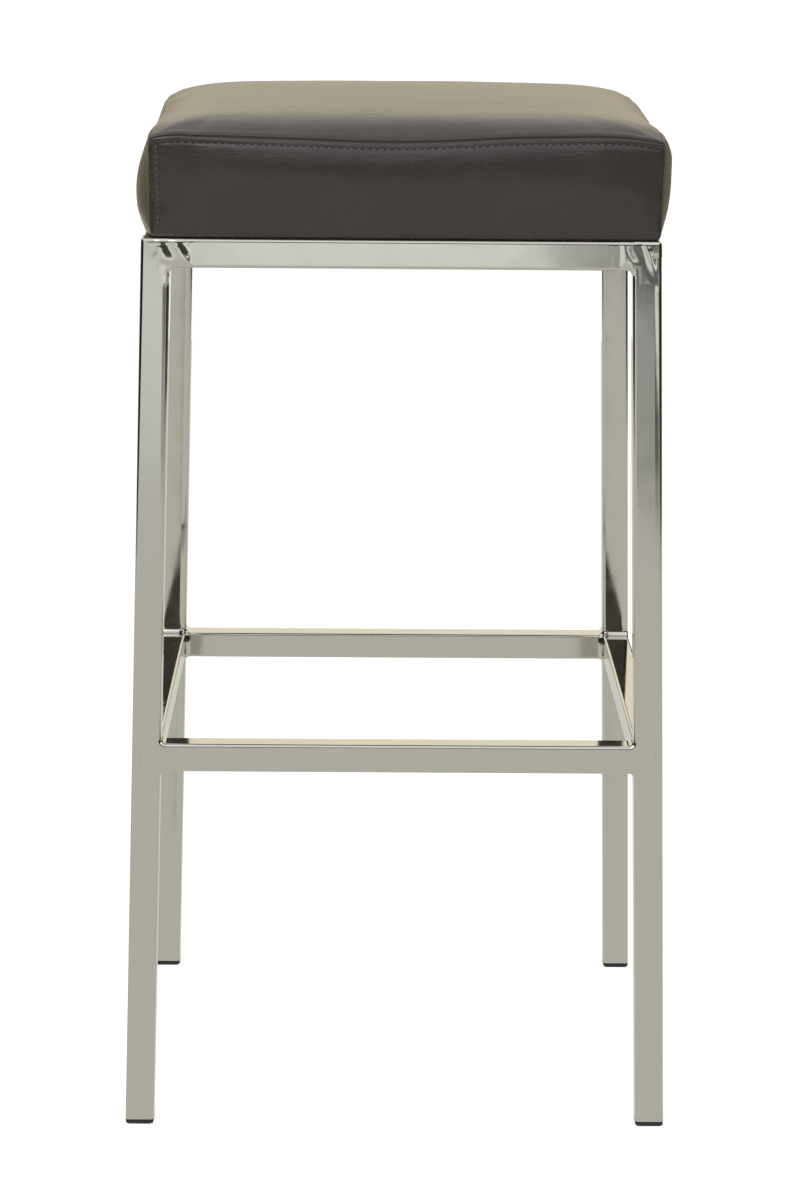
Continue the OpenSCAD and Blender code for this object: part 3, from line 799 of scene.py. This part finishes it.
def weld_face(mid, reach, down, wave, seed, ridges):
    """The ground face of the joint, in one L over the rail's end and down the leg, that fades into both.

    Returns its points, and how far each lies inside the L.
    """
    half = TUBE / 2 - 0.5
    a = np.linspace(-reach, TUBE - TUBE_EDGE, 56)
    z = mid + np.linspace(-half - down, half, 27 + 2 * int(down))
    a, z = np.meshgrid(a, z, indexing="ij")
    high = z - mid
    along = leg_out(z) - TUBE + a
    face = leg_out(mid) + (leg_out(z) - leg_out(mid)) * smooth(-5, 0, a)
    top, base, outer = half - high, half + high, TUBE - TUBE_EDGE - a
    at_rail = np.minimum(np.minimum(a + reach, outer), np.minimum(top, base))
    on_leg = np.minimum(np.minimum(a - TUBE_EDGE, outer), np.minimum(top, base + down))
    inside = np.maximum(at_rail, on_leg)
    # The wheel leaves upright streaks that lean a little
    streaks = ripple(np.stack([along + 0.4 * high, np.full_like(a, seed * 31), high * 0.3], -1), 5.5, seed)
    rise = -0.006 + 0.012 * smooth(0, reach / 2, inside)
    relief = wave * (0.5 + streaks) + sum(ridge(a, high, *mark) for mark in ridges)
    rise = rise + relief * smooth(0.5, 6, np.where(high > 0, np.maximum(inside, 5), inside))
    # The rail's own rounded edges go on into the patch
    low = np.maximum(np.abs(high) - TUBE / 2 + TUBE_EDGE, 0)
    low = low * np.where(high < 0, 1 - smooth(-1, TUBE_EDGE, a), 1)
    rounded = TUBE_EDGE - np.sqrt(np.maximum(TUBE_EDGE**2 - np.minimum(low, TUBE_EDGE)**2, 0))
    return np.stack([along, face + rise - rounded, z], -1), inside


def corner_strip(mid):
    """The upright fillet in the corner between the inner faces of two rails."""
    inner = leg_out(mid) - TUBE
    turn = np.radians(np.linspace(-8, 98, 12))
    z = np.concatenate([mid - TUBE / 2 + np.array([0.4, 1.0, 2.5]), [mid],
                        mid + TUBE / 2 - np.array([2.5, 1.0, 0.4])])
    # It tucks in at its top and bottom
    tuck = np.array([1.6, 0.7, 0, 0, 0, 0.7, 1.6])
    grid = np.zeros((len(turn), len(z), 3))
    for j in range(len(z)):
        centre = inner - FILLET + tuck[j]
        grid[:, j] = np.stack([centre + FILLET * np.sin(turn), centre + FILLET * np.cos(turn),
                               np.full(len(turn), z[j])], -1)
    return grid


def weld_piece(name, node, mid, ends, reach, down, waves, ridges):
    """All the welds of one ring of rails, four corners with two joints each."""
    points, faces = [], []
    for corner, (sx, sy) in enumerate(((-1, -1), (1, -1), (1, 1), (-1, 1))):
        for turned in (False, True):
            seed = 2.0 + corner * 3 + turned
            face, inside = weld_face(mid, reach, down, waves[corner], seed, ridges[corner])
            for patch in [weld_strip(mid, end) for end in ends] + [face]:
                a, b, z = patch[..., 0], patch[..., 1], patch[..., 2]
                x, y = (b, a) if turned else (a, b)
                ground = []
                lay_panel(points, ground, np.stack([sx * x, sy * y, z], -1))
                if patch is face:
                    lowest = np.minimum(np.minimum(inside[:-1, :-1], inside[1:, 1:]),
                                        np.minimum(inside[1:, :-1], inside[:-1, 1:]))
                    ground = [quad for quad, depth in zip(ground, lowest.reshape(-1)) if depth >= 0]
                faces.extend(ground)
        patch = corner_strip(mid)
        lay_panel(points, faces, np.stack([sx * patch[..., 0], sy * patch[..., 1], patch[..., 2]], -1))
    piece = make_piece(name, np.concatenate(points), faces, LEG_CHROME)
    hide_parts(node)


# Each ridge of the grinding: its two ends (out from the joint's inner line, up from the rail's middle), its
# widths towards the rail and towards the leg's outer edge, and its height
FRONT_LEFT = [((9.0, 13.0), (4.0, -8.0), (3.2, 3.6), 0.55),
              ((-2.0, 13.0), (-12.0, -9.0), (3.2, 4.4), 0.60)]
FRONT_RIGHT = [((-7.0, 13.0), (-5.0, -10.0), (1.6, 5.0), 0.18),
               ((7.0, 14.0), (16.0, -8.0), (1.3, 12.0), 0.42)]
REAR = [((3.0, 12.0), (-2.0, -6.0), (3.2, 3.2), 0.3)]
weld_piece("ground_top_welds", "top_corner_welds", TOP_RAIL_MID, [-1], 18.0, 13.0, [0.02, 0.03, 0.03, 0.03],
           [FRONT_LEFT, FRONT_RIGHT, REAR, REAR])
weld_piece("ground_foot_welds", "foot_rail_welds", FOOT_RAIL_MID, [-1, 1], 8.0, 0.0, [0.003] * 4, [[]] * 4)


# Under the seat

def seat_board():
    """The plywood board, with its corners rounded to take the cover."""
    half, low, high, corner = 187.5, FRAME_TOP + 1.0, FRAME_TOP + 13.0, 14.0
    outline = []
    for k, (sx, sy) in enumerate(((1, 1), (-1, 1), (-1, -1), (1, -1))):
        for step in range(9):
            turn = math.radians(90 * k + 90 * step / 8)
            outline.append((sx * (half - corner) + corner * math.cos(turn),
                            sy * (half - corner) + corner * math.sin(turn)))
    count = len(outline)
    points = [(x, y, z) for z in (low, high) for x, y in outline]
    faces = [(k, (k + 1) % count, count + (k + 1) % count, count + k) for k in range(count)]
    faces += [tuple(range(count))[::-1], tuple(range(count, 2 * count))]
    board = make_piece("plywood_board", points, faces, PLYWOOD)
    board.data.set_sharp_from_angle(angle=math.radians(40))
    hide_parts("seat_board")


def dust_cloth():
    """Black cloth stapled under the board: hemmed, cut off at the corners, slack between its staples."""
    half, cut, hem_width, staple_pitch = 166.0, 33.0, 11.0, 0.33
    line = np.unique(np.concatenate([np.linspace(-1, 1, 89), [1 - hem_width / half, hem_width / half - 1]]))
    u, v = np.meshgrid(line, line, indexing="ij")
    flat = np.stack([u * half, v * half, np.zeros_like(u)], -1)
    edge = half * (1 - np.maximum(np.abs(u), np.abs(v)))
    slack = (1 - u**2) * (1 - v**2)
    pulls = np.where(np.abs(u) > np.abs(v), v, u) / staple_pitch
    held = 0.5 + 0.5 * np.cos(2 * math.pi * pulls)
    rise = 0.8 * ripple(flat, 55, 6.0) * smooth(8, 40, edge) - 1.6 * slack
    rise = rise - 0.35 * (1 - held) * hump(edge, 12, 14) - 0.35 * (1 - smooth(10, 11.5, edge))
    grid = flat + UP * (FRAME_TOP - 0.1 + np.minimum(rise, 0))[..., None]
    cloth = make_piece("dust_cloth", grid.reshape(-1, 3), grid_faces(*u.shape), CLOTH)
    trimmed = bmesh.new()
    trimmed.from_mesh(cloth.data)
    for sx in (-1, 1):
        for sy in (-1, 1):
            corner = Vector((sx * (half - cut / 2), sy * (half - cut / 2), 0)) * MM
            bmesh.ops.bisect_plane(trimmed, geom=trimmed.verts[:] + trimmed.edges[:] + trimmed.faces[:],
                                   plane_co=corner, plane_no=Vector((sx, sy, 0)), clear_outer=True)
    trimmed.to_mesh(cloth.data)
    trimmed.free()
    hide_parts("dust_cover")


seat_board()
dust_cloth()


# Finishes of the rigid pieces

def finish_of(name):
    """What a rigid piece is made of or plated with."""
    if name.endswith("_foot"):
        return PLASTIC
    if name in ("tee_nuts", "seat_screws", "screw_washers", "cover_staples"):
        return ZINC
    return LEG_CHROME if name.endswith("_leg") else CHROME


for name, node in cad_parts.items():
    node.data.materials.clear()
    node.data.materials.append(finish_of(name))
    node.data.shade_smooth()
    node.data.set_sharp_from_angle(angle=math.radians(25))
    # The rounded edges shade smoothly, and the flats between them stay flat
    flats = node.modifiers.new("flats", "WEIGHTED_NORMAL")
    flats.keep_sharp = True
    flats.weight = 100


# Studio

def shown_light(tree):
    """1 for what the camera, the metal and clear things see, 0 for the light that falls on the stool."""
    path = add(tree, "ShaderNodeLightPath").outputs
    seen = worked(tree, "MAXIMUM", path["Is Camera Ray"], path["Is Glossy Ray"])
    return worked(tree, "MAXIMUM", seen, path["Is Transmission Ray"])


def stage_piece(name, corners, shown_to_all=True):
    """A flat piece of the studio, which is no part of the stool. Returns the tree of its empty material."""
    mesh = bpy.data.meshes.new(name)
    mesh.from_pydata(corners, [], [tuple(range(len(corners)))])
    piece = bpy.data.objects.new(name, mesh)
    bpy.context.scene.collection.objects.link(piece)
    material = bpy.data.materials.new(name)
    material.use_nodes = True
    material.node_tree.nodes.clear()
    mesh.materials.append(material)
    if not shown_to_all:
        piece.visible_camera = False
        piece.visible_diffuse = False
        piece.visible_shadow = False
        piece.visible_transmission = False
    return material.node_tree


def floor():
    """A white floor that keeps the stool's shadow: the camera and the metal also get some light from it."""
    tree = stage_piece("floor", [(-40, -40, 0), (40, -40, 0), (40, 40, 0), (-40, 40, 0)])
    glow = worked(tree, "MULTIPLY", shown_light(tree), 0.70)
    light = add(tree, "ShaderNodeEmission", {"Color": grey(1.0), "Strength": glow})
    paint = add(tree, "ShaderNodeBsdfDiffuse", {"Color": grey(0.8)})
    both = add(tree, "ShaderNodeAddShader", {0: light.outputs[0], 1: paint.outputs[0]})
    add(tree, "ShaderNodeOutputMaterial", {"Surface": both.outputs[0]})


def shine(tree, tone, strength):
    """Makes a piece of the studio glow."""
    light = add(tree, "ShaderNodeEmission", {"Color": tone, "Strength": strength})
    add(tree, "ShaderNodeOutputMaterial", {"Surface": light.outputs[0]})


def card(name, start, end, height, tone, shades=False):
    """A plain studio card that stands on the floor and only shows in the chrome and the gloss.

    One that shades also takes light away.
    """
    corners = [(*start, 0.0), (*end, 0.0), (*end, height), (*start, height)]
    tree = stage_piece(name, corners, shown_to_all=False)
    bpy.data.objects[name].visible_diffuse = shades
    shine(tree, colour(tone), 1.0)


def band(tree, value, low, high, blur):
    """1 between two values and 0 outside them, with soft ends."""
    rising = ranged(tree, value, low - blur, low + blur, kind="SMOOTHSTEP")
    falling = ranged(tree, value, high + blur, high - blur, kind="SMOOTHSTEP")
    return worked(tree, "MULTIPLY", rising, falling)


def mat():
    """The studio's grey-beige floor as the chrome shows it: paler far off, with dark and pale streaks."""
    tree = stage_piece("floor_mat", [(-3.6, -14, 0.002), (3.6, -14, 0.002), (3.6, 4, 0.002),
                                     (-3.6, 4, 0.002)], shown_to_all=False)
    place = add(tree, "ShaderNodeTexCoord").outputs["Object"]
    x, y, _ = add(tree, "ShaderNodeSeparateXYZ", {"Vector": place}).outputs
    ramp = add(tree, "ShaderNodeValToRGB", {"Fac": ranged(tree, y, -2.4, -8.4)},
               stops=[(0.0, (0.66, 0.65, 0.59, 1)), (0.2, (0.67, 0.67, 0.63, 1)),
                      (0.5, (0.79, 0.81, 0.78, 1)), (1.0, (0.85, 0.87, 0.84, 1))])
    # Across the floor, in metres: left to right, near to far, the blur of the ends, and how bright it is
    level = 1.0
    for left, right, near, far, blur, bright in ((-0.40, 0.40, -4.3, -20.0, 0.10, 1.18),
                                                 (0.42, 0.75, -3.6, -20.0, 0.05, 0.56),
                                                 (0.75, 1.30, -3.7, -20.0, 0.05, 0.16),
                                                 (1.30, 1.90, -3.0, -20.0, 0.06, 1.25),
                                                 (1.90, 3.60, -2.0, -20.0, 0.10, 0.30),
                                                 (-9.0, -3.0, 9.0, -20.0, 0.15, 0.12),
                                                 (3.2, 9.0, 9.0, -20.0, 0.15, 0.12)):
        beside = band(tree, x, left, right, blur)
        there = worked(tree, "MULTIPLY", beside, band(tree, y, far, near, 0.7))
        level = worked(tree, "MULTIPLY", worked(tree, "MULTIPLY_ADD", there, bright - 1, 1.0), level)
    shine(tree, ramp.outputs["Color"], level)


def backdrop():
    """A white studio: full white where it is seen, half as bright as a light."""
    world = bpy.data.worlds.new("studio")
    bpy.context.scene.world = world
    world.use_nodes = True
    tree = world.node_tree
    tree.nodes.clear()
    level = ranged(tree, shown_light(tree), 0.0, 1.0, 0.5, 1.0)
    white = add(tree, "ShaderNodeBackground", {"Color": grey(1.0), "Strength": level})
    add(tree, "ShaderNodeOutputWorld", {"Surface": white.outputs[0]})


def softbox(name, place, aim, size, power):
    light = bpy.data.lights.new(name, "AREA")
    light.shape = "SQUARE"
    light.size = size
    light.energy = power
    lamp = bpy.data.objects.new(name, light)
    lamp.location = place
    lamp.rotation_euler = (Vector(aim) - Vector(place)).to_track_quat("-Z", "Y").to_euler()
    bpy.context.scene.collection.objects.link(lamp)


floor()
mat()
backdrop()
softbox("key_softbox", (-1.8, -2.4, 3.2), (0, 0, 0.5), 2.4, 60)
softbox("fill_softbox", (2.6, -1.6, 2.4), (0, 0, 0.5), 2.0, 20)
card("front_flag", (-9, -14), (9, -14), 5.3, "#4A4743")
card("back_paper", (-6, 8), (6, 8), 5.0, "#FDF4DA")
for name, side, tone, wing_tone in (("left", -1, "#1E1B19", "#4F483E"), ("right", 1, "#2A2622", "#5C564D")):
    turn = (side * 3.5, -0.3)
    card(name + "_flag", (side * 3.5, -14), turn, 2.6, tone, shades=True)
    card(name + "_wing", turn, (side * 1.2, 5.2), 2.6, wing_tone, shades=True)


# Camera

def camera():
    """The photograph's view."""
    data = bpy.data.cameras.new("camera")
    data.sensor_width = 36.0
    data.lens = 108.79
    data.clip_end = 200.0
    view = bpy.data.objects.new("camera", data)
    place = (-0.0248, -2.9027, 1.0102)
    yaw, pitch, roll = -0.00956, 0.21511, 0.00833
    ahead = Vector((-math.sin(yaw) * math.cos(pitch), math.cos(yaw) * math.cos(pitch), -math.sin(pitch)))
    aim = ahead.to_track_quat("-Z", "Y").to_matrix().to_4x4() @ Matrix.Rotation(roll, 4, "Z")
    view.matrix_world = Matrix.Translation(place) @ aim
    bpy.context.scene.collection.objects.link(view)
    bpy.context.scene.camera = view


camera()
bpy.context.scene.view_settings.view_transform = "Standard"
